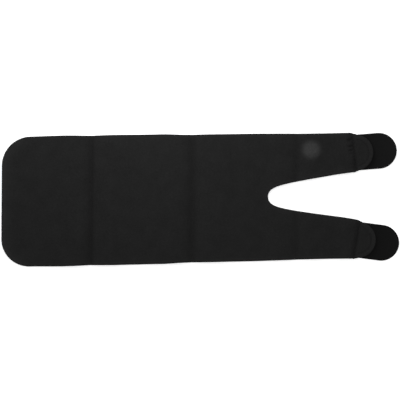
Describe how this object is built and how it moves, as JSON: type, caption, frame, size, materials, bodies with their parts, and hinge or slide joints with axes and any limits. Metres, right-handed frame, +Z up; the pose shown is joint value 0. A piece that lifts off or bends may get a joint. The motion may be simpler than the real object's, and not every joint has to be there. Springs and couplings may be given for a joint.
{
  "type": "upper arm compression wrap",
  "caption": "Flat-laid neoprene upper arm wrap with a rounded end, a long notch that leaves a pair of straps, and half-round hook tabs sewn under the strap ends.",
  "frame": {"origin": "centre of the wrap's footprint, on the surface it lies on", "axes": "+X along the wrap from the rounded end to the straps, +Y across it towards the upper strap, +Z up out of the loop face"},
  "size_m": [0.4441, 0.1463, 0.0054],
  "materials": {
    "loop_neoprene": "black brushed loop cloth on foam, matt",
    "hook_tape": "black woven nylon hook tape, low sheen"
  },
  "bodies": {
    "root": {"wrap_panel": "loop_neoprene", "hook_tab_upper": "hook_tape", "hook_tab_lower": "hook_tape"}
  },
  "joints": []
}
